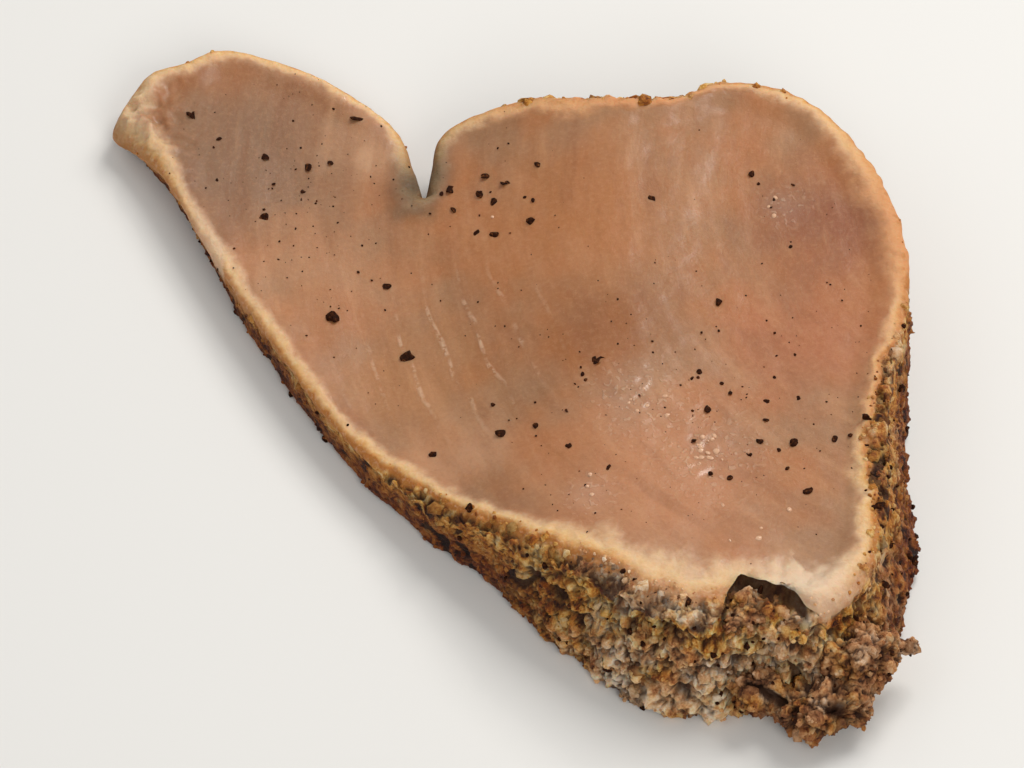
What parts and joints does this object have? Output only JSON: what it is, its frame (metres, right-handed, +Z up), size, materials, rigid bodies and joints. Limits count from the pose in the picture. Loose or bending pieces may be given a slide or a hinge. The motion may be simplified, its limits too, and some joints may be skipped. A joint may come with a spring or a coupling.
{
  "type": "seared tuna steak",
  "caption": "Slice cut from a seared, pepper-crusted tuna steak: pale moist flesh, a cream seared rim, a crumb crust, and a notch between a thin and a thick lobe.",
  "frame": {"origin": "on the surface that the slice lies on, under the middle of its box", "axes": "+Z up out of the top cut face, +X from the thin lobe to the thick lobe, +Y from the crusted front to the notch"},
  "size_m": [0.073, 0.0776, 0.0117],
  "materials": {
    "flesh": "satin",
    "crust": "matte",
    "pepper": "matte",
    "juice": "gloss"
  },
  "bodies": {
    "root": {"tuna_slice": "flesh"}
  },
  "joints": []
}
